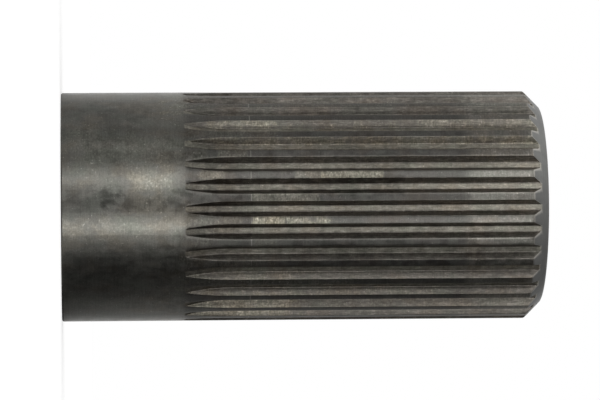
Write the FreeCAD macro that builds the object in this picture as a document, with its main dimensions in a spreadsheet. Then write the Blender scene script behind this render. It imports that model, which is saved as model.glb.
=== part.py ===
# Splined end of a half shaft: one steel bar, turned all over and then hobbed with an involute spline.
# It stands on its plain end. +Z runs along the shaft's axis from the plain end to the splined end,
# and the origin is the centre of the plain end face. One tooth space is centred on +X.
# All lengths are in millimetres and all angles in degrees.
import FreeCAD, Part
import Sketcher
import enum
import math
import os

NODE = "half_shaft"

SIZES = {
    # Turned bar
    "shaft_diameter": 49.7,
    "plain_length": 26.3,
    "splined_length": 77.7,
    "end_chamfer_width": 3.45,
    "end_chamfer_length": 3.45,
    "plain_end_break": 0.3,
    # Involute spline, measured from its pitch circle
    "tooth_count": 32,
    "pressure_angle": 30,
    "addendum": 0.85,
    "dedendum": 0.65,
    "profile_shift": 0.175,
    "root_bevel": 0.24,
    "hob_radius": 31,
    # Lathe centre in the splined end
    "centre_mouth_diameter": 10.6,
    "centre_cone_angle": 60,
    "centre_pilot_diameter": 5,
    "centre_pilot_depth": 6,
    "drill_point_angle": 118,
}
# How far a cutting profile passes beyond the surface that it cuts
OVERRUN = 0.5
# The hob lifts out of the bar well within a quarter turn about its own axis
HOB_SWEEP_ANGLE = 90

# Expressions in terms of the sizes above
TIP_RADIUS = "(Sizes.shaft_diameter / 2)"
LENGTH = "(Sizes.plain_length + Sizes.splined_length)"
PITCH_RADIUS = f"({TIP_RADIUS} - Sizes.addendum)"
ROOT_RADIUS = f"({PITCH_RADIUS} - Sizes.dedendum)"
BASE_RADIUS = f"({PITCH_RADIUS} * cos(Sizes.pressure_angle))"
TOOTH_DEPTH = "(Sizes.addendum + Sizes.dedendum)"
# Half the angle of a tooth space at the pitch circle, where the profile shift thickens the teeth
HALF_SPACE = (
    f"(90 / Sizes.tooth_count"
    f" - 180 / pi * Sizes.profile_shift * tan(Sizes.pressure_angle) / {PITCH_RADIUS})"
)
# Each flank is the involute's circle of curvature at the pitch circle, centred on the base circle
FLANK_RADIUS = f"({PITCH_RADIUS} * sin(Sizes.pressure_angle))"
FLANK_CENTRE_ANGLE = f"({HALF_SPACE} + Sizes.pressure_angle)"
FLANK_CENTRE_X = f"({BASE_RADIUS} * cos({FLANK_CENTRE_ANGLE}))"
FLANK_CENTRE_Y = f"({BASE_RADIUS} * sin({FLANK_CENTRE_ANGLE}))"
# The floor's corners are eased by bevels that turn half of the way into the flanks
BEVEL_ANGLE = "((90 - Sizes.pressure_angle) / 2)"
BEVEL_RISE = f"(Sizes.root_bevel * sin({BEVEL_ANGLE}))"
BEVEL_RUN = f"(Sizes.root_bevel * cos({BEVEL_ANGLE}))"
MOUTH_X = f"({TIP_RADIUS} + {OVERRUN})"
# The groove floor rises along the hob's own circle from full depth to the bar's surface
HOB_AXIS_X = f"({ROOT_RADIUS} + Sizes.hob_radius)"
RUN_OUT = f"sqrt({TOOTH_DEPTH} * (2 * Sizes.hob_radius - {TOOTH_DEPTH}))"
FULL_DEPTH_START = f"(Sizes.plain_length + {RUN_OUT})"
CENTRE_MOUTH_RADIUS = "(Sizes.centre_mouth_diameter / 2)"
CENTRE_PILOT_RADIUS = "(Sizes.centre_pilot_diameter / 2)"
CENTRE_CONE_DEPTH = (
    f"(({CENTRE_MOUTH_RADIUS} - {CENTRE_PILOT_RADIUS}) / tan(Sizes.centre_cone_angle / 2))"
)
CENTRE_PILOT_END = f"({LENGTH} - {CENTRE_CONE_DEPTH} - Sizes.centre_pilot_depth)"
DRILL_POINT_END = f"({CENTRE_PILOT_END} - {CENTRE_PILOT_RADIUS} / tan(Sizes.drill_point_angle / 2))"


class Vertex(enum.IntEnum):
    """A sketch's own numbers for the points of a line or an arc."""
    START = enum.auto()
    END = enum.auto()
    CENTRE = enum.auto()


class Axis(enum.IntEnum):
    """A sketch's own numbers for its axes."""
    HORIZONTAL = -1
    VERTICAL = -2


START, END, CENTRE = Vertex
H_AXIS, V_AXIS = Axis
# A sketch's horizontal axis starts at its origin
ORIGIN = (H_AXIS, START)


def make_sheet():
    """The driving dimensions, one row each: the name in column A and the value in column B."""
    sheet = document.addObject("Spreadsheet::Sheet", "Sizes")
    for row, (name, size) in enumerate(SIZES.items(), start=1):
        sheet.set(f"A{row}", name)
        sheet.set(f"B{row}", str(size))
        sheet.setAlias(f"B{row}", name)
    document.recompute()
    return sheet


def number(expression):
    """The present value of an expression, which places geometry before it is constrained."""
    value = sheet.evalExpression(expression)
    return float(getattr(value, "Value", value))


def place(x, y, z=0):
    return FreeCAD.Vector(x, y, z)


def constrain(sketch, *terms):
    return sketch.addConstraint(Sketcher.Constraint(*terms))


def dimension(sketch, name, expression, *terms):
    """A named dimension of the sketch that follows an expression."""
    sketch.renameConstraint(constrain(sketch, *terms, number(expression)), name)
    sketch.setExpression(f"Constraints.{name}", expression)


def locate(sketch, name, element, vertex, x, y):
    """Holds a point of an element at coordinates that follow two expressions."""
    for axis, coordinate in (("X", x), ("Y", y)):
        dimension(sketch, f"{name}_{axis}", coordinate, "Distance" + axis, *ORIGIN, element, vertex)


def new_sketch(body, name, plane_role):
    plane = next(f for f in body.Origin.OriginFeatures if f.Role == plane_role)
    sketch = body.newObject("Sketcher::SketchObject", name)
    sketch.AttachmentSupport = (plane, [""])
    sketch.MapMode = "FlatFace"
    return sketch


def half_section(body, name, on_axis, corners):
    """A closed half section against the shaft's axis, which is the sketch's vertical axis.
    on_axis holds the heights of its last and first corners, and corners the ones between."""
    top, bottom = on_axis
    outline = [("low_on_axis", None, bottom), *corners, ("high_on_axis", None, top)]
    places = [place(number(x) if x else 0, number(z)) for _, x, z in outline]
    sketch = new_sketch(body, name, "XZ_Plane")
    lines = [
        sketch.addGeometry(Part.LineSegment(start, end), False)
        for start, end in zip(places, places[1:] + places[:1])
    ]
    for line, following in zip(lines, lines[1:] + lines[:1]):
        constrain(sketch, "Coincident", line, END, following, START)
    for line, (corner, x, z) in zip(lines, outline):
        if x:
            locate(sketch, corner, line, START, x, z)
        else:
            constrain(sketch, "PointOnObject", line, START, V_AXIS)
            dimension(sketch, f"{corner}_Y", z, "DistanceY", *ORIGIN, line, START)
    return sketch


def turned(body, feature_type, name, sketch):
    feature = body.newObject(feature_type, name)
    feature.Profile = sketch
    feature.ReferenceAxis = (sketch, ["V_Axis"])
    feature.Angle = 360
    return recomputed(body, feature)


def recomputed(body, feature):
    """Rebuilds the feature and makes sure that a cut takes material away."""
    base = feature.BaseFeature
    document.recompute()
    if base and not feature.Shape.Volume < base.Shape.Volume:
        raise RuntimeError(f"{feature.Label} cuts nothing")
    body.Tip = feature
    return feature


def tooth_space_sketch(body):
    """One tooth space across the shaft, at the place where the grooves reach their full depth.
    Its floor lies on the root circle, bevels lead into the flanks, and it is open to the outside.
    A construction line beyond it is the axis that the hob turns about."""
    sketch = new_sketch(body, "ToothSpace", "XY_Plane")
    sketch.setExpression("AttachmentOffset.Base.z", FULL_DEPTH_START)

    root, base, flank = number(ROOT_RADIUS), number(BASE_RADIUS), number(FLANK_RADIUS)
    flank_centre = place(number(FLANK_CENTRE_X), number(FLANK_CENTRE_Y))
    # The floor and a flank would meet at this angle, and the bevel starts just short of it
    centre_angle = math.radians(number(FLANK_CENTRE_ANGLE))
    corner = centre_angle - math.acos((root**2 + base**2 - flank**2) / (2 * root * base))
    floor_end = corner - number("Sizes.root_bevel") / 2 / root
    bevel_start = place(root * math.cos(floor_end), root * math.sin(floor_end))
    bevel_end = bevel_start + place(number(BEVEL_RISE), number(BEVEL_RUN))
    to_bevel = bevel_end - flank_centre
    flank_start = math.atan2(to_bevel.y, to_bevel.x)
    mouth_x = number(MOUTH_X)
    flank_end = -math.acos((mouth_x - flank_centre.x) / flank)
    mouth_y = flank_centre.y + flank * math.sin(flank_end)

    def arc(centre, radius, start, end):
        circle = Part.Circle(centre, place(0, 0, 1), radius)
        return sketch.addGeometry(Part.ArcOfCircle(circle, start, end), False)

    def line(start, end, construction=False):
        return sketch.addGeometry(Part.LineSegment(start, end), construction)

    def mirrored(vector):
        return place(vector.x, -vector.y)

    floor = arc(place(0, 0), root, -floor_end, floor_end)
    left_bevel = line(bevel_start, bevel_end)
    left_flank = arc(flank_centre, flank, flank_start, flank_end)
    mouth = line(place(mouth_x, mouth_y), place(mouth_x, -mouth_y))
    right_flank = arc(mirrored(flank_centre), flank, -flank_end, -flank_start)
    right_bevel = line(mirrored(bevel_end), mirrored(bevel_start))

    loop = [floor, left_bevel, left_flank, mouth, right_flank, right_bevel]
    for element, following in zip(loop, loop[1:] + loop[:1]):
        constrain(sketch, "Coincident", element, END, following, START)
    constrain(sketch, "Coincident", floor, CENTRE, *ORIGIN)
    constrain(sketch, "Equal", left_flank, right_flank)
    constrain(sketch, "Symmetric", left_flank, CENTRE, right_flank, CENTRE, H_AXIS)
    constrain(sketch, "Vertical", mouth)
    constrain(sketch, "Vertical", left_bevel, START, right_bevel, END)
    constrain(sketch, "Vertical", left_bevel, END, right_bevel, START)
    dimension(sketch, "root_radius", ROOT_RADIUS, "Radius", floor)
    dimension(sketch, "bevel_rise", BEVEL_RISE, "DistanceX", left_bevel, START, left_bevel, END)
    dimension(sketch, "bevel_run", BEVEL_RUN, "DistanceY", left_bevel, START, left_bevel, END)
    dimension(sketch, "flank_radius", FLANK_RADIUS, "Radius", left_flank)
    locate(sketch, "flank_centre", left_flank, CENTRE, FLANK_CENTRE_X, FLANK_CENTRE_Y)
    dimension(sketch, "mouth", MOUTH_X, "DistanceX", *ORIGIN, mouth, START)

    axis_x = number(HOB_AXIS_X)
    hob_axis = line(place(axis_x, 0), place(axis_x, root), construction=True)
    constrain(sketch, "Vertical", hob_axis)
    constrain(sketch, "PointOnObject", hob_axis, START, H_AXIS)
    dimension(sketch, "hob_axis", HOB_AXIS_X, "DistanceX", *ORIGIN, hob_axis, START)
    dimension(sketch, "hob_axis_length", ROOT_RADIUS, "DistanceY", hob_axis, START, hob_axis, END)
    return sketch


def turn_bar(body):
    """The bar with its plain end's broken edge and the splined end's chamfer."""
    sketch = half_section(body, "BarProfile", (LENGTH, "0"), [
        ("plain_face_edge", f"{TIP_RADIUS} - Sizes.plain_end_break", "0.0"),
        ("plain_break_edge", TIP_RADIUS, "Sizes.plain_end_break"),
        ("chamfer_start", TIP_RADIUS, f"{LENGTH} - Sizes.end_chamfer_length"),
        ("chamfer_end", f"{TIP_RADIUS} - Sizes.end_chamfer_width", LENGTH),
    ])
    return turned(body, "PartDesign::Revolution", "Bar", sketch)


def drill_centre(body):
    """The lathe centre in the splined end: a cone, a pilot hole and the drill's point."""
    sketch = half_section(body, "CentreProfile", (f"{LENGTH} + {OVERRUN}", DRILL_POINT_END), [
        ("pilot_end", CENTRE_PILOT_RADIUS, CENTRE_PILOT_END),
        ("pilot_start", CENTRE_PILOT_RADIUS, f"{LENGTH} - {CENTRE_CONE_DEPTH}"),
        ("mouth", CENTRE_MOUTH_RADIUS, LENGTH),
        ("mouth_above", CENTRE_MOUTH_RADIUS, f"{LENGTH} + {OVERRUN}"),
    ])
    return turned(body, "PartDesign::Groove", "LatheCentre", sketch)


def cut_spline(body):
    """All the tooth spaces: straight and full depth to the splined end, and rising out of the bar
    towards the plain end along the hob's circle."""
    sketch = tooth_space_sketch(body)

    straight = body.newObject("PartDesign::Pocket", "StraightGroove")
    straight.Profile = sketch
    straight.Reversed = True
    straight.setExpression("Length", f"{LENGTH} - {FULL_DEPTH_START} + {OVERRUN}")
    recomputed(body, straight)

    run_out = body.newObject("PartDesign::Groove", "GrooveRunOut")
    run_out.Profile = sketch
    run_out.ReferenceAxis = (sketch, ["Axis0"])
    run_out.Angle = HOB_SWEEP_ANGLE
    run_out.Reversed = True
    recomputed(body, run_out)

    shaft_axis = next(f for f in body.Origin.OriginFeatures if f.Role == "Z_Axis")
    spline = body.newObject("PartDesign::PolarPattern", "Spline")
    spline.Originals = [straight, run_out]
    spline.Axis = (shaft_axis, [""])
    spline.Angle = 360
    spline.setExpression("Occurrences", "Sizes.tooth_count")
    return recomputed(body, spline)


def make_half_shaft():
    body = document.addObject("PartDesign::Body", "HalfShaft")
    body.Label = NODE
    turn_bar(body)
    drill_centre(body)
    cut_spline(body)
    return body


document = FreeCAD.newDocument("HalfShaft")
sheet = make_sheet()
half_shaft = make_half_shaft()
document.recompute()

for item in document.Objects:
    if "Invalid" in item.State or "Error" in item.State:
        raise RuntimeError(f"{item.Label} did not rebuild: {item.State}")
if half_shaft.Shape.isNull() or not half_shaft.Shape.isValid() or len(half_shaft.Shape.Solids) != 1:
    raise RuntimeError(f"{half_shaft.Label} is not one valid solid")

os.makedirs("parts", exist_ok=True)
half_shaft.Shape.exportStep(f"parts/{half_shaft.Label}.step")
print(f"{half_shaft.Label}: {half_shaft.Shape.Volume / 1000:.2f} cm3")
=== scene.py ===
# The splined end of a dark steel half shaft, standing on its plain end on a white floor.
# Every length is in metres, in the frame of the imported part: +Z along the shaft's axis.
import bmesh
import math
from types import SimpleNamespace

import bpy
from mathutils import Matrix, Vector, noise


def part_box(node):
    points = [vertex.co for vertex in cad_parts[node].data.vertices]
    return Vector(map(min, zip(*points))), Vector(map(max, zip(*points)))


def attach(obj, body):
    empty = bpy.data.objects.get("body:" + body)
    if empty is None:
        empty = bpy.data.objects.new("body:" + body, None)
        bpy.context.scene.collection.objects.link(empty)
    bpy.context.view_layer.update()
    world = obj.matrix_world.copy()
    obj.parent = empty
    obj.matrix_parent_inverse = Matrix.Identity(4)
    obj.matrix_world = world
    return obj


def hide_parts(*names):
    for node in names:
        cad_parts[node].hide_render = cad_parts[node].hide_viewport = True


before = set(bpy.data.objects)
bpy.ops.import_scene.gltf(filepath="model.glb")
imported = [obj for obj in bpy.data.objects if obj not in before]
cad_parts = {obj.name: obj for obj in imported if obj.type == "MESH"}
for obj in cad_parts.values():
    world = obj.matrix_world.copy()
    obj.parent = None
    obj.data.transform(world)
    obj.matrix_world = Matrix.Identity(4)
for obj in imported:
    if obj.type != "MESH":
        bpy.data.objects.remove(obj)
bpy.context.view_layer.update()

MM = 0.001
NODE = "half_shaft"
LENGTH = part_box(NODE)[1].z

# Turned outline
TIP_RADIUS = 24.85 * MM
PLAIN_LENGTH = 26.3 * MM
CHAMFER = 3.45 * MM
CHAMFER_START = LENGTH - CHAMFER
FACE_RADIUS = TIP_RADIUS - CHAMFER
PLAIN_BREAK = 0.3 * MM
RIM_ROUND = 0.12 * MM

# Lathe centre in the splined end
CENTRE_MOUTH_RADIUS = 5.3 * MM
CENTRE_CONE_ANGLE = math.radians(60)
CENTRE_PILOT_RADIUS = 2.5 * MM
CENTRE_PILOT_DEPTH = 6 * MM
DRILL_POINT_ANGLE = math.radians(118)
CENTRE_CONE_DEPTH = (CENTRE_MOUTH_RADIUS - CENTRE_PILOT_RADIUS) / math.tan(CENTRE_CONE_ANGLE / 2)
CENTRE_CONE_END = LENGTH - CENTRE_CONE_DEPTH
CENTRE_PILOT_END = CENTRE_CONE_END - CENTRE_PILOT_DEPTH
DRILL_POINT_END = CENTRE_PILOT_END - CENTRE_PILOT_RADIUS / math.tan(DRILL_POINT_ANGLE / 2)

# Involute spline
TOOTH_COUNT = 32
HALF_PITCH = math.pi / TOOTH_COUNT
PRESSURE_ANGLE = math.radians(30)
ADDENDUM = 0.85 * MM
DEDENDUM = 0.65 * MM
PITCH_RADIUS = TIP_RADIUS - ADDENDUM
ROOT_RADIUS = PITCH_RADIUS - DEDENDUM
BASE_RADIUS = PITCH_RADIUS * math.cos(PRESSURE_ANGLE)
PROFILE_SHIFT = 0.175 * MM
HALF_SPACE = HALF_PITCH / 2 - PROFILE_SHIFT * math.tan(PRESSURE_ANGLE) / PITCH_RADIUS
FLANK_RADIUS = PITCH_RADIUS * math.sin(PRESSURE_ANGLE)
ROOT_FILLET = 0.26 * MM
HOB_RADIUS = 31 * MM
TOOTH_DEPTH = TIP_RADIUS - ROOT_RADIUS
RUN_OUT = math.sqrt(TOOTH_DEPTH * (2 * HOB_RADIUS - TOOTH_DEPTH))
FULL_DEPTH_START = PLAIN_LENGTH + RUN_OUT
HOB_AXIS = ROOT_RADIUS + HOB_RADIUS
# How far past the fillet the flank's curve is looked along for the tooth's edge
FLANK_REACH = 3 * TOOTH_DEPTH
# Where the mating hub's bore ends, and has left a line across the tooth tips
HUB_LINE = 40.3 * MM

# Worn tooth edges: how far their rounding reaches, and the most of a groove's outline it takes
EDGE_ROUND = 0.055 * MM
CHAMFER_EDGE_ROUND = 1.8 * EDGE_ROUND
MOST_ROUND = 0.3
# The rounding's waves: the length of one along the edge, how much it varies the rounding, and
# its shifts in the noise for the side of the groove and for the tooth
EDGE_WAVES = [
    (2.2 * MM, 0.77, 5.7, 3.3),
    (0.6 * MM, 0.44, 8.1, 4.9),
]

# How many steps the mesh takes over each stretch of a groove's outline, and half of a land
FILLET_STEPS = 3
FLANK_STEPS = 3
LAND_STEPS = 2
# Share of the groove's floor that has none of the flank's look, whose darker colour is painted shade
CLEAR_FLOOR = 0.75
# How many rings of points it has along each stretch of the shaft
PLAIN_ROWS = 8
RUN_OUT_ROWS = 22
SPLINED_ROWS = 60
TOOTH_END_ROWS = 7
CONE_ROWS = 4
# The run-out's rings crowd towards its tip, by this power
RUN_OUT_CROWDING = 1.6
# The skin's edges that turn by more than this are sharp
SHARP_ANGLE = math.radians(32)
# How much more a large face bends the normals at its corners than a small one does
LARGE_FACE_WEIGHT = 80
# Points closer than this are one point
TINY = 0.0005 * MM
BISECTIONS = 40
MARKS = ("cut", "flank", "worn_and_glint")
UNMARKED = (0.0, 0.0, 0.0)


def polar(radius, angle):
    return Vector((radius * math.cos(angle), radius * math.sin(angle)))


def spread(start, end, count):
    """Evenly spaced values after start, up to end."""
    return [start + (end - start) * i / count for i in range(1, count + 1)]


class ToothSpace:
    """Half the outline of a tooth space, as a curve that starts at the middle of its floor.
    It goes along the root circle, round the fillet and up the flank, past the tooth's tip."""

    def __init__(self):
        centre_angle = HALF_SPACE + PRESSURE_ANGLE
        self.flank_centre = polar(BASE_RADIUS, centre_angle)
        reach = ROOT_RADIUS + ROOT_FILLET
        side = FLANK_RADIUS + ROOT_FILLET
        turn = math.acos((reach**2 + BASE_RADIUS**2 - side**2) / (2 * reach * BASE_RADIUS))
        self.floor_angle = centre_angle - turn
        self.fillet_centre = polar(reach, self.floor_angle)
        to_flank = self.flank_centre - self.fillet_centre
        self.fillet_start = math.pi + self.floor_angle
        fillet_end = math.atan2(to_flank.y, to_flank.x)
        self.flank_start = fillet_end - math.pi
        self.floor_end = ROOT_RADIUS * self.floor_angle
        self.fillet_end = self.floor_end + ROOT_FILLET * (self.fillet_start - fillet_end)

    def point(self, along):
        if along <= self.floor_end:
            return polar(ROOT_RADIUS, along / ROOT_RADIUS)
        if along <= self.fillet_end:
            angle = self.fillet_start - (along - self.floor_end) / ROOT_FILLET
            return self.fillet_centre + polar(ROOT_FILLET, angle)
        angle = self.flank_start + (along - self.fillet_end) / FLANK_RADIUS
        return self.flank_centre + polar(FLANK_RADIUS, angle)

    def lifted(self, along, height):
        """The outline's point at a height on the shaft: short of full depth it rises with the hob."""
        point = self.point(along)
        short = max(FULL_DEPTH_START - height, 0)
        return Vector((HOB_AXIS - math.sqrt((HOB_AXIS - point.x)**2 - short**2), point.y))

    def edge(self, height, outer_radius):
        """How far along the outline it meets the shaft's surface, found by halving an interval."""
        low, high = 0.0, self.fillet_end + FLANK_REACH
        for _ in range(BISECTIONS):
            middle = (low + high) / 2
            if self.lifted(middle, height).length < outer_radius:
                low = middle
            else:
                high = middle
        return low


def edge_round(height, side, tooth):
    """The worn rounding of one tooth edge, which varies along it."""
    waves = sum(
        share * noise.noise(Vector((height / length, side * side_step, tooth * tooth_step)))
        for length, share, side_step, tooth_step in EDGE_WAVES
    )
    rounding = EDGE_ROUND if height < CHAMFER_START else CHAMFER_EDGE_ROUND
    return rounding * (1 + waves)


def half_ring(space, height, outer_radius, side, tooth):
    """Points from a groove's centre line to the middle of the land beside it, each with its marks: how
    much it is hobbed, how much it is flank, which gets painted shade, and how much it is worn edge, which
    gets a bright colour that is partly a painted highlight."""
    edge = space.edge(height, outer_radius)
    rounding = min(edge_round(height, side, tooth), edge * MOST_ROUND)
    inner = edge - rounding
    flank_end = max(inner, space.fillet_end)
    groove = [(0.0, 0.0), (space.floor_end * CLEAR_FLOOR, 0.0), (space.floor_end, 1.0)]
    groove += [(along, 1.0) for along in spread(space.floor_end, space.fillet_end, FILLET_STEPS)]
    groove += [(along, 1.0) for along in spread(space.fillet_end, flank_end, FLANK_STEPS)]
    points = [(space.lifted(min(along, inner), height), 1.0, flank, 0.0) for along, flank in groove]

    corner = space.lifted(edge, height)
    land_start = math.atan2(corner.y, corner.x) + rounding / outer_radius
    flank_point, land_point = points[-1][0], polar(outer_radius, land_start)
    # The middle of a parabola that rounds the corner off
    # This corner point carries the edge mark, whose bright colour is partly wear and partly a painted
    # highlight
    points.append((flank_point / 4 + corner / 2 + land_point / 4, 0.5, 0.5, 1.0))
    # On the chamfer, one rim of each groove carries the edge mark out onto the land, which paints a
    # highlight line along that rim only
    rim_glint = 1.0 if height > CHAMFER_START and side > 0 else 0.0
    points.append((land_point, 0.0, 0.0, rim_glint))
    for angle in spread(land_start, HALF_PITCH, LAND_STEPS):
        points.append((polar(outer_radius, angle), *UNMARKED))
    return points


def ring(space, height, outer_radius):
    """A whole ring of points round the shaft at a height, with a groove's centre line on +X.
    Where there are no grooves, its points keep the directions of the nearest groove's points."""
    grooved_height = max(height, PLAIN_LENGTH + TINY)
    grooved_radius = max(outer_radius, ROOT_RADIUS + TINY)
    plain = height < grooved_height or outer_radius < grooved_radius
    points = []
    for tooth in range(TOOTH_COUNT):
        centre = Matrix.Rotation(2 * HALF_PITCH * tooth, 2)
        right = half_ring(space, grooved_height, grooved_radius, 1, tooth)
        left = half_ring(space, grooved_height, grooved_radius, -1, tooth)
        left = [(Vector((p.x, -p.y)), *marks) for p, *marks in left]
        for p, *marks in left[:0:-1] + right[:-1]:
            place = centre @ p
            if plain:
                place, marks = place.normalized() * outer_radius, UNMARKED
            points.append(((place.x, place.y, height), *marks))
    return points


def rows_along():
    """Heights and outer radii of the rings, from the plain face to the bottom of the lathe centre."""
    rows = [(0.0, TIP_RADIUS / 2), (0.0, TIP_RADIUS - PLAIN_BREAK), (PLAIN_BREAK, TIP_RADIUS)]
    rows += [(z, TIP_RADIUS) for z in spread(PLAIN_BREAK, PLAIN_LENGTH - RIM_ROUND, PLAIN_ROWS)]
    rows.append((PLAIN_LENGTH, TIP_RADIUS))
    for share in spread(0, 1, RUN_OUT_ROWS):
        rows.append((PLAIN_LENGTH + RUN_OUT * share**RUN_OUT_CROWDING, TIP_RADIUS))
    splined_end = CHAMFER_START - RIM_ROUND
    rows += [(z, TIP_RADIUS) for z in spread(FULL_DEPTH_START, splined_end, SPLINED_ROWS)]
    # The first ring of the tooth ends and the last of the cone lie just past and short of a rim
    tooth_ends = spread(CHAMFER_START, CHAMFER_START + TOOTH_DEPTH - TINY, TOOTH_END_ROWS)
    tooth_ends[0] = CHAMFER_START + RIM_ROUND
    cone = spread(tooth_ends[-1], LENGTH - RIM_ROUND, CONE_ROWS)
    rows += [(z, TIP_RADIUS - (z - CHAMFER_START)) for z in tooth_ends + cone]
    return rows + [
        (LENGTH, FACE_RADIUS - RIM_ROUND),
        (LENGTH, CENTRE_MOUTH_RADIUS + RIM_ROUND),
        (LENGTH - RIM_ROUND, CENTRE_MOUTH_RADIUS - RIM_ROUND / 2),
        (CENTRE_CONE_END, CENTRE_PILOT_RADIUS),
        (CENTRE_PILOT_END, CENTRE_PILOT_RADIUS),
    ]


def shaft_mesh():
    """The whole shaft as one closed skin of rings, with its marks as attributes."""
    space = ToothSpace()
    rings = [ring(space, height, radius) for height, radius in rows_along()]
    around = len(rings[0])
    points = [point for row in rings for point in row]
    faces = []
    for row in range(len(rings) - 1):
        a, b = row * around, (row + 1) * around
        for i in range(around):
            following = (i + 1) % around
            faces.append((a + i, a + following, b + following, b + i))
    first, last, end = len(points), len(points) + 1, (len(rings) - 1) * around
    points += [((0.0, 0.0, z), *UNMARKED) for z in (0.0, DRILL_POINT_END)]
    for i in range(around):
        following = (i + 1) % around
        faces += [(first, following, i), (last, end + i, end + following)]

    mesh = bpy.data.meshes.new("shaft_skin")
    mesh.from_pydata([point[0] for point in points], [], faces)
    for column, name in enumerate(MARKS, start=1):
        attribute = mesh.attributes.new(name, "FLOAT", "POINT")
        attribute.data.foreach_set("value", [point[column] for point in points])
    return mesh


def make_shaft():
    mesh = shaft_mesh()
    work = bmesh.new()
    work.from_mesh(mesh)
    bmesh.ops.remove_doubles(work, verts=work.verts, dist=TINY)
    bmesh.ops.dissolve_degenerate(work, edges=work.edges, dist=TINY)
    work.to_mesh(mesh)
    work.free()
    mesh.shade_smooth()
    mesh.set_sharp_from_angle(angle=SHARP_ANGLE)
    shaft = bpy.data.objects.new("splined_shaft", mesh)
    bpy.context.scene.collection.objects.link(shaft)
    normals = shaft.modifiers.new("weighted_normals", "WEIGHTED_NORMAL")
    normals.mode = "FACE_AREA"
    normals.weight = LARGE_FACE_WEIGHT
    normals.keep_sharp = True
    return shaft


class Graph:
    """Builds shader nodes. An input may be another node's output, or a plain value."""

    def __init__(self, tree):
        self.tree = tree

    def node(self, kind, inputs=(), output=0, **settings):
        """A new node's output, by its number or its name."""
        node = self.tree.nodes.new("ShaderNode" + kind)
        for name, value in settings.items():
            setattr(node, name, value)
        for name, value in dict(inputs).items():
            self.feed(node.inputs[name], value)
        return node.outputs[output]

    def feed(self, socket, value):
        if isinstance(value, bpy.types.NodeSocket):
            self.tree.links.new(value, socket)
        else:
            socket.default_value = value

    def split(self, vector):
        """The vector's X, Y and Z."""
        return list(self.node("SeparateXYZ", {0: vector}).node.outputs)

    def light_path(self):
        return self.node("LightPath").node.outputs

    def math(self, operation, first, *others):
        """One maths node after another over all the values."""
        result = first
        for value in others:
            result = self.node("Math", {0: result, 1: value}, operation=operation)
        return result

    def vector_math(self, operation, first, second=(0, 0, 0)):
        return self.node("VectorMath", {0: first, 1: second}, operation=operation)

    def step(self, value, low, high, to_low=0.0, to_high=1.0):
        """A smooth step from one value to another."""
        return self.node("MapRange", {
            "Value": value, "From Min": low, "From Max": high, "To Min": to_low, "To Max": to_high,
        }, interpolation_type="SMOOTHSTEP")

    def mix(self, factor, a, b, blend="MIX"):
        mixer = self.tree.nodes.new("ShaderNodeMix")
        mixer.data_type = "RGBA"
        mixer.blend_type = blend
        for name, value in (("Factor", factor), ("A", a), ("B", b)):
            socket = next(s for s in mixer.inputs if s.name == name and s.enabled)
            self.feed(socket, value)
        return next(s for s in mixer.outputs if s.enabled)


def grey(level):
    return (level, level, level, 1.0)


# Colours of the steel, as linear values
JOURNAL_OUTER_COLOUR = (0.212, 0.208, 0.188, 1)
JOURNAL_INNER_COLOUR = (0.24, 0.235, 0.211, 1)
TIP_COLOUR = (0.157, 0.15, 0.138, 1)
GROOVE_COLOUR = (0.38, 0.357, 0.303, 1)
# Flanks and fillets are painted darker than the groove floors: painted shade in the grooves' sides
FLANK_SHADE_COLOUR = (0.212, 0.196, 0.174, 1)
FACED_COLOUR = (0.179, 0.18, 0.173, 1)
# Bright colour of worn tooth edges and of the lines across the tips: partly bare steel, partly a painted
# highlight
EDGE_WEAR_AND_GLINT_COLOUR = (0.6, 0.575, 0.52, 1)
GREEN_TINT = (0.965, 1.0, 0.985, 1)
BROWN_TINT = (1.0, 0.965, 0.93, 1)
WARM_TINT = (1.0, 0.985, 0.86, 1)

# Its roughness. Where there are two values, it varies between them.
JOURNAL_ROUGHNESS = (0.28, 0.36)
SPLINED_ROUGHER = 0.06
GROOVE_ROUGHNESS = 0.5
FLANK_ROUGHNESS = 0.45
FACED_ROUGHNESS = (0.37, 0.46)
BUMP_STRENGTH = 0.3
BUMP_DEPTH = 0.006 * MM
SPECKLE_BUMP = 0.8

# Patterns of noise on the steel: the width of a feature round the shaft and along it, the
# noise's detail and roughness, and how far its place in the noise is shifted
PATTERNS = {
    # Patches of oxide, from some centimetres to less than a millimetre wide
    "runs": (4 * MM, 50 * MM, 1, 0.5, 6.4),
    "clouds": (8 * MM, 14 * MM, 2, 0.5, 3.1),
    "tints": (4 * MM, 6 * MM, 3, 0.5, 12.3),
    "blotches": (1.6 * MM, 2.2 * MM, 3, 0.5, 7.7),
    "speckle": (0.5 * MM, 0.42 * MM, 2, 0.5, 4.2),
    "grain": (0.3 * MM, 0.3 * MM, 2, 0.7, 9.4),
    # Turning marks and scuffs, which run round the shaft
    "turning": (6 * MM, 0.3 * MM, 2, 0.5, 2.6),
    "scuffs": (1.6 * MM, 0.26 * MM, 2, 0.6, 1.9),
    # Streaks in the grooves, which run along it
    "streaks": (0.3 * MM, 3 * MM, 3, 0.6, 5.2),
    "dabs": (0.4 * MM, 1.1 * MM, 2, 0.6, 8.3),
}
SHIFT_DIRECTION = Vector((1, 0.7, -1))
# Noise for fine rings on the chamfer and the end face: its scale to a millimetre, and detail
FACING_SCALE = 4.0
FACING_DETAIL = 2.0

# A noise runs mostly between these values
NOISE_RANGE = (0.3, 0.7)
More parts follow.
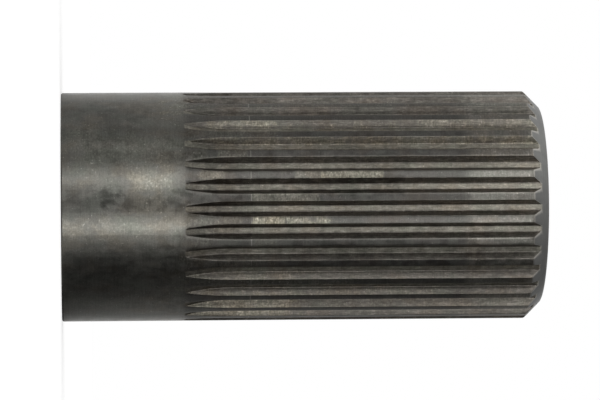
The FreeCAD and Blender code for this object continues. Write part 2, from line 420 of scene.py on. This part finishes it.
# What the patterns do to the steel's brightness, as smooth steps: the noise values where a step
# starts and ends, and its results there, which are factors
LEVEL_STEPS = [
    ("clouds", *NOISE_RANGE, 0.93, 1.07),
    ("runs", *NOISE_RANGE, 0.9, 1.1),
    ("blotches", *NOISE_RANGE, 0.92, 1.08),
    ("turning", *NOISE_RANGE, 0.94, 1.06),
    ("grain", 0.25, 0.75, 0.86, 1.14),
    ("speckle", 0.68, 0.74, 1.0, 1.7),
]
FACED_STEPS = [
    ("facing", *NOISE_RANGE, 0.93, 1.07),
    ("blotches", *NOISE_RANGE, 0.95, 1.05),
    ("clouds", *NOISE_RANGE, 0.93, 1.07),
    ("grain", 0.25, 0.75, 0.94, 1.06),
]
# The same for rubbed steel and for the grooves, where the results are added up
RUBBED_STEPS = [
    ("scuffs", 0.38, 0.65, 0.6, 1.2),
    ("speckle", 0.4, 0.68, -0.3, 0.9),
]
GROOVE_STEPS = [
    ("streaks", 0.35, 0.7, 0.82, 1.12),
    ("dabs", 0.45, 0.68, -0.05, 0.3),
]
# Values of the tints' noise that turn the steel green or brown, from none to all of the tint
GREEN_RANGE = (0.48, 0.65)
BROWN_RANGE = (0.5, 0.35)

# Marks on the shaft, as rectangles: direction round it in degrees, as for the lamps, where they
# start and end along it, half their width round it, the softness of their outline, and strength.
# Their lengths are in millimetres.
# Lightened steel: the short marks are rubbed spots, and the ones that run the splines' whole length are
# painted sheen on the lands that face that way
RUBBED_AND_SHEEN_PATCHES = [
    (5.6, 40.4, 47.5, 1.4, 0.3, 1.35),
    (5.6, 47.0, 57.0, 1.4, 1.5, 0.85),
    (5.6, 26.5, 38.0, 1.4, 1.5, 0.4),
    (-16.9, 29.5, 34.5, 1.4, 0.7, 0.45),
    (-16.9, 49.6, 55.0, 1.4, 0.25, 0.45),
    (-16.9, 55.0, 68.2, 1.4, 0.25, 0.85),
    (-5.6, 40.4, 54.6, 1.4, 0.3, 0.55),
    (-28.1, 33.2, 39.8, 1.4, 0.25, 0.4),
    (-28.1, 27.0, 31.0, 1.4, 0.6, 0.35),
    (-39.4, 27.0, 46.0, 1.4, 1.0, 0.35),
    (-61.9, 24.0, 106.0, 1.4, 3.0, 0.45),
    (-75.0, 24.0, 106.0, 4.5, 3.0, 0.35),
    (16.9, 40.4, 46.0, 1.4, 0.8, 0.3),
    (16.9, 27.0, 32.0, 1.4, 1.0, 0.3),
    (28.1, 26.0, 45.0, 1.4, 2.0, 0.4),
    (39.4, 26.0, 60.0, 1.4, 3.0, 0.45),
    (-14.0, 15.0, 24.0, 2.6, 1.6, 0.3),
    (-16.0, 3.0, 12.0, 2.0, 1.5, 0.1),
    (10.0, 1.0, 6.0, 2.2, 1.2, 0.22),
    (9.0, 8.0, 21.0, 2.4, 1.6, 0.22),
    (9.0, 21.0, 26.0, 2.6, 1.0, 0.16),
    (-38.0, 1.0, 8.5, 3.2, 1.8, 0.25),
    (-30.0, 3.0, 27.0, 4.0, 3.0, 0.25),
    (-3.0, 16.0, 23.0, 2.5, 2.0, 0.2),
]
# Lightened flanks: painted sheen on the flanks that face each of these ways
FLANK_SHEEN_PATCHES = [
    (-36.6, 24.0, 104.0, 1.2, 4.0, 0.7),
    (-48.0, 33.0, 45.0, 1.2, 3.0, 0.6),
    (-48.0, 77.0, 102.0, 1.2, 3.0, 0.45),
    (36.6, 24.0, 50.0, 1.2, 4.0, 0.4),
    (48.0, 27.0, 80.0, 1.2, 4.0, 0.4),
    (59.2, 27.0, 101.0, 1.2, 4.0, 0.25),
    (63.0, 24.0, 50.0, 5.0, 3.0, 0.65),
]
# Darkened steel: the short marks on the journal are stains, and the long ones along the splines' grooves
# and lands are painted shade
STAINED_AND_SHADED_PATCHES = [
    (-5.0, 9.0, 12.5, 1.6, 1.6, 0.9),
    (-2.5, 13.0, 15.5, 1.2, 1.2, 0.5),
    (-34.0, 8.5, 12.5, 4.5, 2.5, 0.4),
    (-52.0, 7.0, 17.0, 4.0, 3.0, 0.3),
    (-9.5, 1.0, 7.0, 1.2, 1.4, 0.3),
    (-15.0, 9.5, 12.5, 2.4, 1.6, 0.35),
    (0.0, 24.0, 33.0, 1.2, 3.0, 0.5),
    (11.25, 24.0, 38.0, 1.2, 4.0, 0.45),
    (11.25, 61.0, 106.0, 1.4, 1.6, 0.4),
    (-11.25, 24.0, 72.0, 1.4, 1.6, 0.7),
    (-22.5, 24.0, 74.0, 1.4, 1.6, 0.45),
    (-33.75, 24.0, 84.0, 1.2, 4.0, 0.25),
    (-69.0, 26.0, 86.0, 1.8, 4.0, 0.5),
    (22.5, 24.0, 106.0, 1.2, 4.0, 0.45),
    (56.25, 24.0, 92.0, 1.2, 4.0, 0.3),
    (5.6, 86.0, 104.0, 0.9, 1.0, 0.45),
]
# How far a mark reaches into the steel, in millimetres, which is past the grooves' floors
PATCH_DEPTH = 10
# How much the stains and the painted shade darken the steel
STAIN_AND_SHADE_DARKENING = 0.5

# The lands and the chamfer are lighter towards the splined end: painted light falling on that end
END_LIGHT_START = 85 * MM
END_LIGHT_FULL = 88 * MM
END_LIGHT_GAIN = 0.45
END_LIGHT_RUBBING = 0.2
# The mating hub hasn't rubbed the grooves short of its line
COVERED_LEVEL = 0.65
COVERED_START = PLAIN_LENGTH + 3 * MM
COVERED_END = HUB_LINE + 4 * MM
# They are lightest where they open out into the chamfer: painted light reaching into them there
OPEN_END_LIGHT_LEVEL = 1.15
# Half the length over which the journal's look turns into the splines'
SPLINED_BLEND = 1.5 * MM
CHAMFER_BLEND = 0.1 * MM
# How bare the worn tooth edges are, and the fine lines across the tooth tips, which take the bright edge
# colour that is partly a painted highlight: a smooth step in a pattern for each, as above
EDGE_STEP = ("blotches", 0.45, 0.65, 0.0, 0.3)
LINE_STEP = ("tints", 0.4, 0.6, 0.05, 0.4)
# The chamfer's rims get at least this much of the bright edge colour: a painted highlight along them
CHAMFER_EDGE_SHINE = 0.6
LINE_HALF_WIDTH = 0.11 * MM


def steel_zones(graph):
    """Places on the shaft, and its zones, which are 1 inside and 0 outside."""
    place = graph.node("TexCoord", output="Object")
    height = graph.split(place)[2]
    cut, flank, worn_and_glint = (graph.node("Attribute", attribute_name=name, output="Fac") for name in MARKS)
    uncut = graph.math("SUBTRACT", 1.0, cut)
    chamfered = graph.step(height, CHAMFER_START, CHAMFER_START + CHAMFER_BLEND)
    end_light = graph.step(height, END_LIGHT_START, END_LIGHT_FULL)
    return SimpleNamespace(
        place=place, height=height, cut=cut, flank=flank, worn_and_glint=worn_and_glint, uncut=uncut, chamfered=chamfered,
        faced=graph.math("MULTIPLY", chamfered, uncut),
        splined=graph.step(height, PLAIN_LENGTH - SPLINED_BLEND, PLAIN_LENGTH + SPLINED_BLEND),
        end_light=graph.math("MULTIPLY", end_light, uncut),
    )


def steel_patterns(graph, place):
    """The noises in PATTERNS, and the rings from facing, by their names."""
    patterns = {}
    for name, (across, along, detail, roughness, shift) in PATTERNS.items():
        features = graph.vector_math("MULTIPLY", place, (1 / across, 1 / across, 1 / along))
        patterns[name] = graph.node("TexNoise", {
            "Vector": graph.vector_math("ADD", features, shift * SHIFT_DIRECTION),
            "Scale": 1.0, "Detail": detail, "Roughness": roughness,
        })
    across_axis = graph.vector_math("MULTIPLY", place, (1 / MM, 1 / MM, 0))
    radius = graph.node("VectorMath", {0: across_axis}, output="Value", operation="LENGTH")
    patterns["facing"] = graph.node("TexNoise", {
        "W": radius, "Scale": FACING_SCALE, "Detail": FACING_DETAIL,
    }, noise_dimensions="1D")
    return patterns


def pattern_steps(graph, patterns, rows):
    """One smooth step for each row, from the pattern that the row names."""
    return [graph.step(patterns[name], *ends) for name, *ends in rows]


def patches(graph, place, ragged, rows):
    """How strongly a place lies in any of the patches. A noise makes their soft outlines ragged."""
    strengths = []
    for direction, start, end, half_width, softness, strength in rows:
        angle = math.radians(direction)
        middle, half_length = (start + end) / 2, (end - start) / 2
        centre = (TIP_RADIUS * math.sin(angle), -TIP_RADIUS * math.cos(angle), middle * MM)
        local = graph.node("Mapping", {
            "Vector": place, "Location": centre, "Rotation": (0, 0, angle), "Scale": [softness * MM] * 3,
        }, vector_type="TEXTURE")
        size = (half_width / softness, PATCH_DEPTH / softness, half_length / softness)
        beyond = graph.vector_math("SUBTRACT", graph.vector_math("ABSOLUTE", local), size)
        beyond = graph.math("ADD", graph.math("MAXIMUM", *graph.split(beyond)), ragged)
        strengths.append(graph.step(beyond, -1.0, 1.0, strength, 0.0))
    return graph.math("MAXIMUM", *strengths)


def wear_sheen_and_shade(graph, zone, patterns):
    """How much a place is lightened, by rubbing and by painted sheen, and how much it is darkened, by
    stains and by painted shade.
    """
    ragged = graph.step(patterns["blotches"], *NOISE_RANGE, -1.0, 1.0)
    lands = graph.math("MULTIPLY", patches(graph, zone.place, ragged, RUBBED_AND_SHEEN_PATCHES), zone.uncut)
    flank_sheen = graph.math("MULTIPLY", patches(graph, zone.place, ragged, FLANK_SHEEN_PATCHES), zone.flank)
    # The painted light towards the splined end also brings the rubbed texture there
    end = graph.math("MULTIPLY", zone.end_light, END_LIGHT_RUBBING)
    rubbed_and_sheen = graph.math("MAXIMUM", lands, flank_sheen, end)
    return rubbed_and_sheen, patches(graph, zone.place, ragged, STAINED_AND_SHADED_PATCHES)


def steel_colour(graph, zone, patterns, rubbed_and_sheen):
    """The steel's colour, with painted shade on the flanks and fillets, before the patterns lighten and
    darken it.
    """
    inward = graph.step(zone.height, 0.0, PLAIN_LENGTH)
    journal = graph.mix(inward, JOURNAL_OUTER_COLOUR, JOURNAL_INNER_COLOUR)
    colour = graph.mix(zone.splined, journal, TIP_COLOUR)
    colour = graph.mix(zone.cut, colour, GROOVE_COLOUR)
    # Painted shade on the flanks and fillets
    colour = graph.mix(zone.flank, colour, FLANK_SHADE_COLOUR)
    tints = patterns["tints"]
    colour = graph.mix(graph.step(tints, *GREEN_RANGE), colour, GREEN_TINT, "MULTIPLY")
    colour = graph.mix(graph.step(tints, *BROWN_RANGE), colour, BROWN_TINT, "MULTIPLY")
    return graph.mix(rubbed_and_sheen, colour, WARM_TINT, "MULTIPLY")


def steel_level(graph, zone, patterns, rubbed_and_sheen, stained_and_shaded):
    """The factor by which the patterns, the wear and the painted light and shade lighten and darken the
    steel.
    """
    bare_and_sheen = graph.math("ADD", *pattern_steps(graph, patterns, RUBBED_STEPS))
    bare_and_sheen = graph.math("ADD", graph.math("MULTIPLY", rubbed_and_sheen, bare_and_sheen), 1.0)
    stain_and_shade_factor = graph.math("SUBTRACT", 1.0, graph.math("MULTIPLY", stained_and_shaded, STAIN_AND_SHADE_DARKENING))
    groove = graph.math(
        "MULTIPLY",
        graph.math("ADD", *pattern_steps(graph, patterns, GROOVE_STEPS)),
        graph.step(zone.height, COVERED_START, COVERED_END, COVERED_LEVEL, 1.0),
        graph.step(zone.height, END_LIGHT_FULL, CHAMFER_START, 1.0, OPEN_END_LIGHT_LEVEL),
    )
    groove = graph.mix(zone.cut, grey(1), groove)
    # Painted light on the lands and the chamfer towards the splined end
    end = graph.math("ADD", 1.0, graph.math("MULTIPLY", zone.end_light, END_LIGHT_GAIN))
    plain = pattern_steps(graph, patterns, LEVEL_STEPS)
    return graph.math("MULTIPLY", *plain, bare_and_sheen, stain_and_shade_factor, groove, end)


def bareness_and_glint(graph, zone, patterns):
    """How much of the bright edge colour, which is partly bare steel and partly a painted highlight, the
    worn tooth edges and the fine lines across the tooth tips get.
    """
    edge_shine, line_shine = pattern_steps(graph, patterns, [EDGE_STEP, LINE_STEP])
    chamfer_shine = graph.math("MULTIPLY", zone.chamfered, CHAMFER_EDGE_SHINE)
    edges = graph.math("MULTIPLY", zone.worn_and_glint, graph.math("MAXIMUM", edge_shine, chamfer_shine))
    lines = [graph.math("COMPARE", zone.height, at) for at in (HUB_LINE, CHAMFER_START)]
    for line in lines:
        line.node.inputs[2].default_value = LINE_HALF_WIDTH
    lines = graph.math("MULTIPLY", graph.math("MAXIMUM", *lines), zone.uncut, line_shine)
    return graph.math("MAXIMUM", edges, lines)


def steel_roughness(graph, zone, patterns):
    rough = graph.step(patterns["blotches"], *NOISE_RANGE, *JOURNAL_ROUGHNESS)
    rough = graph.math("ADD", rough, graph.math("MULTIPLY", zone.splined, SPLINED_ROUGHER))
    rough = graph.mix(zone.cut, rough, grey(GROOVE_ROUGHNESS))
    rough = graph.mix(zone.flank, rough, grey(FLANK_ROUGHNESS))
    faced = graph.step(patterns["facing"], *NOISE_RANGE, *FACED_ROUGHNESS)
    return graph.mix(zone.faced, rough, faced)


def steel_bump(graph, zone, patterns):
    relief = graph.mix(zone.cut, patterns["scuffs"], patterns["streaks"])
    relief = graph.math("ADD", relief, graph.math("MULTIPLY", patterns["speckle"], SPECKLE_BUMP))
    return graph.node("Bump", {
        "Height": relief, "Strength": BUMP_STRENGTH, "Distance": BUMP_DEPTH,
    })


def dark_steel():
    """Oxidised steel, with the chamfer and the end face turned clean."""
    material = bpy.data.materials.new("dark_steel")
    material.use_nodes = True
    graph = Graph(material.node_tree)
    shader = material.node_tree.nodes["Principled BSDF"]
    zone = steel_zones(graph)
    patterns = steel_patterns(graph, zone.place)
    rubbed_and_sheen, stained_and_shaded = wear_sheen_and_shade(graph, zone, patterns)

    colour = steel_colour(graph, zone, patterns, rubbed_and_sheen)
    level = steel_level(graph, zone, patterns, rubbed_and_sheen, stained_and_shaded)
    colour = graph.mix(1.0, colour, level, "MULTIPLY")
    faced_level = graph.math("MULTIPLY", *pattern_steps(graph, patterns, FACED_STEPS))
    colour = graph.mix(zone.faced, colour, graph.mix(1.0, FACED_COLOUR, faced_level, "MULTIPLY"))
    colour = graph.mix(bareness_and_glint(graph, zone, patterns), colour, EDGE_WEAR_AND_GLINT_COLOUR)

    graph.feed(shader.inputs["Base Color"], colour)
    graph.feed(shader.inputs["Roughness"], steel_roughness(graph, zone, patterns))
    graph.feed(shader.inputs["Normal"], steel_bump(graph, zone, patterns))
    graph.feed(shader.inputs["Metallic"], 1.0)
    return material


# Camera. The photograph shows the shaft level, so the camera is rolled a quarter turn.
# It looks square at the plain end, and turns a little towards the splined one.
IMAGE_WIDTH = 600
SENSOR_WIDTH = 36
FOCAL_PIXELS = 3720
SHAFT_WIDTH_PIXELS = 228.0
PIXEL = 2 * TIP_RADIUS / SHAFT_WIDTH_PIXELS
CAMERA_DISTANCE = FOCAL_PIXELS * PIXEL
CAMERA_HEIGHT = 30 * PIXEL
AIM_HEIGHT = 238.3 * PIXEL
AIM_SIDE = -5.85 * PIXEL
CAMERA_AZIMUTH = math.radians(-1.4)
CAMERA_TRIM = math.radians(-0.35)
NEAREST_SEEN = 0.05
FARTHEST_SEEN = 50


def make_camera():
    data = bpy.data.cameras.new("camera")
    data.sensor_width = SENSOR_WIDTH
    data.lens = FOCAL_PIXELS * SENSOR_WIDTH / IMAGE_WIDTH
    data.clip_start = NEAREST_SEEN
    data.clip_end = FARTHEST_SEEN
    camera = bpy.data.objects.new("camera", data)
    bpy.context.scene.collection.objects.link(camera)
    place = Vector((0, -CAMERA_DISTANCE, CAMERA_HEIGHT))
    target = Vector((AIM_SIDE, 0, AIM_HEIGHT))
    back = (place - target).normalized()
    up = back.cross(Vector((0, 0, 1))).normalized()
    trim = Matrix.Rotation(CAMERA_TRIM, 3, back)
    aim = Matrix((trim @ up.cross(back), trim @ up, back)).transposed().to_4x4()
    around = Matrix.Rotation(CAMERA_AZIMUTH, 4, "Z")
    camera.matrix_world = around @ Matrix.Translation(place) @ aim
    bpy.context.scene.camera = camera


# Studio. Directions are in degrees round the shaft, from the camera's side towards +X.
LAMP_DISTANCE = 1.0
LAMP_HEIGHT = 0.1
LAMP_TALL = 0.7
UPPER_STRIP = {"direction": -28, "width": 0.25, "brightness": 2.55}
LOWER_STRIP = {"direction": 18, "width": 0.22, "brightness": 3.5}
# What the steel mirrors of the room: its brightness in each direction. It is white only behind
# the shaft, where the camera sees the white ground.
ROOM = [
    (-180, 1.0), (-168, 0.85), (-156, 0.68), (-139, 0.5), (-116, 0.37), (-92, 0.3), (-72, 0.31),
    (-50, 0.32), (-27, 0.31), (-6, 0.27), (12, 0.26), (36, 0.15), (46, 0.08), (57, 0.037), (68, 0.033),
    (80, 0.035), (95, 0.09), (111, 0.17), (131, 0.25), (147, 0.35), (160, 0.6), (170, 0.9), (180, 1.0),
]
# What it mirrors of the ceiling, on the side away from +X and on the side towards it
CEILING = (1.4, 0.0)
# How far to either side the ceiling's brightness changes, and how high up it begins and is
# full, as parts of a direction of length 1
CEILING_REACH = 0.8
CEILING_START = 0.35
CEILING_FULL = 0.8
# The light that dull surfaces get from the room
ROOM_LIGHT = 0.85
FLOOR_SHADE = 0.8
FLOOR_GLOW = 0.35
FLOOR_REACH = 12


def strip_lamp(name, direction, width, brightness):
    """A tall softbox that faces the shaft."""
    data = bpy.data.lights.new(name, "AREA")
    data.shape = "RECTANGLE"
    data.size = width
    data.size_y = LAMP_TALL
    data.energy = brightness * math.pi * width * LAMP_TALL
    lamp = bpy.data.objects.new(name, data)
    bpy.context.scene.collection.objects.link(lamp)
    angle = math.radians(direction)
    place = Vector((math.sin(angle), -math.cos(angle), 0)) * LAMP_DISTANCE
    place.z = LAMP_HEIGHT
    toward = Vector((0, 0, LENGTH / 2)) - place
    turn = toward.to_track_quat("-Z", "Y").to_matrix().to_4x4()
    lamp.matrix_world = Matrix.Translation(place) @ turn
    lamp.visible_camera = False


def room_brightness(graph, place):
    """The room's brightness in the direction that a place lies in, seen from the shaft."""
    x, y, _ = graph.split(place)
    angle = graph.math("ARCTAN2", x, graph.math("MULTIPLY", y, -1.0))
    turn = graph.node("MapRange", {"Value": angle, "From Min": -math.pi, "From Max": math.pi})
    ramp = graph.node("ValToRGB", {"Fac": turn})
    ramp.node.color_ramp.interpolation = "EASE"
    stops = ramp.node.color_ramp.elements
    while len(stops) < len(ROOM):
        stops.new(0.5)
    for stop, (degrees, level) in zip(stops, ROOM):
        stop.position = (degrees + 180) / 360
        stop.color = grey(level)
    return ramp


def make_floor():
    """A pale floor with the shaft's shadow, which the steel mirrors as a part of the room."""
    near, far = -FLOOR_REACH, FLOOR_REACH
    mesh = bpy.data.meshes.new("floor")
    mesh.from_pydata([(near, near, 0), (far, near, 0), (far, far, 0), (near, far, 0)], [], [(0, 1, 2, 3)])
    floor = bpy.data.objects.new("floor", mesh)
    bpy.context.scene.collection.objects.link(floor)
    material = bpy.data.materials.new("floor")
    material.use_nodes = True
    graph = Graph(material.node_tree)
    path = graph.light_path()
    shader = graph.tree.nodes["Principled BSDF"]
    shader.inputs["Base Color"].default_value = grey(FLOOR_SHADE)
    shader.inputs["Roughness"].default_value = 1
    shader.inputs["Specular IOR Level"].default_value = 0
    shader.inputs["Emission Color"].default_value = grey(1)
    seen = graph.math("MAXIMUM", path["Is Camera Ray"], path["Is Transmission Ray"])
    graph.feed(shader.inputs["Emission Strength"], graph.math("MULTIPLY", seen, FLOOR_GLOW))
    place = graph.node("TexCoord", output="Object")
    mirrored = graph.node("Emission", {"Color": room_brightness(graph, place)})
    surface = graph.node("MixShader", {0: path["Is Glossy Ray"], 1: shader.outputs[0], 2: mirrored})
    graph.feed(graph.tree.nodes["Material Output"].inputs["Surface"], surface)
    mesh.materials.append(material)


def make_room():
    """The room round the shaft: white to look at, and dim in the steel's reflections."""
    world = bpy.data.worlds.new("studio")
    bpy.context.scene.world = world
    world.use_nodes = True
    graph = Graph(world.node_tree)
    path = graph.light_path()
    direction = graph.node("TexCoord", output="Generated")
    x, _, z = graph.split(direction)
    away, towards = CEILING
    ceiling = graph.node("MapRange", {
        "Value": x, "From Min": -CEILING_REACH, "From Max": CEILING_REACH,
        "To Min": away, "To Max": towards,
    })
    overhead = graph.step(z, CEILING_START, CEILING_FULL)
    mirrored = graph.mix(overhead, room_brightness(graph, direction), ceiling)
    room = graph.mix(path["Is Glossy Ray"], grey(ROOM_LIGHT), mirrored)
    seen = graph.math("MAXIMUM", path["Is Camera Ray"], path["Is Transmission Ray"])
    room = graph.mix(seen, room, grey(1))
    graph.feed(graph.tree.nodes["Background"].inputs["Color"], room)


shaft = make_shaft()
shaft.data.materials.append(dark_steel())
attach(shaft, "root")
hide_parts(NODE)

make_camera()
make_floor()
make_room()
strip_lamp("upper_strip", **UPPER_STRIP)
strip_lamp("lower_strip", **LOWER_STRIP)
bpy.context.scene.view_settings.view_transform = "Standard"
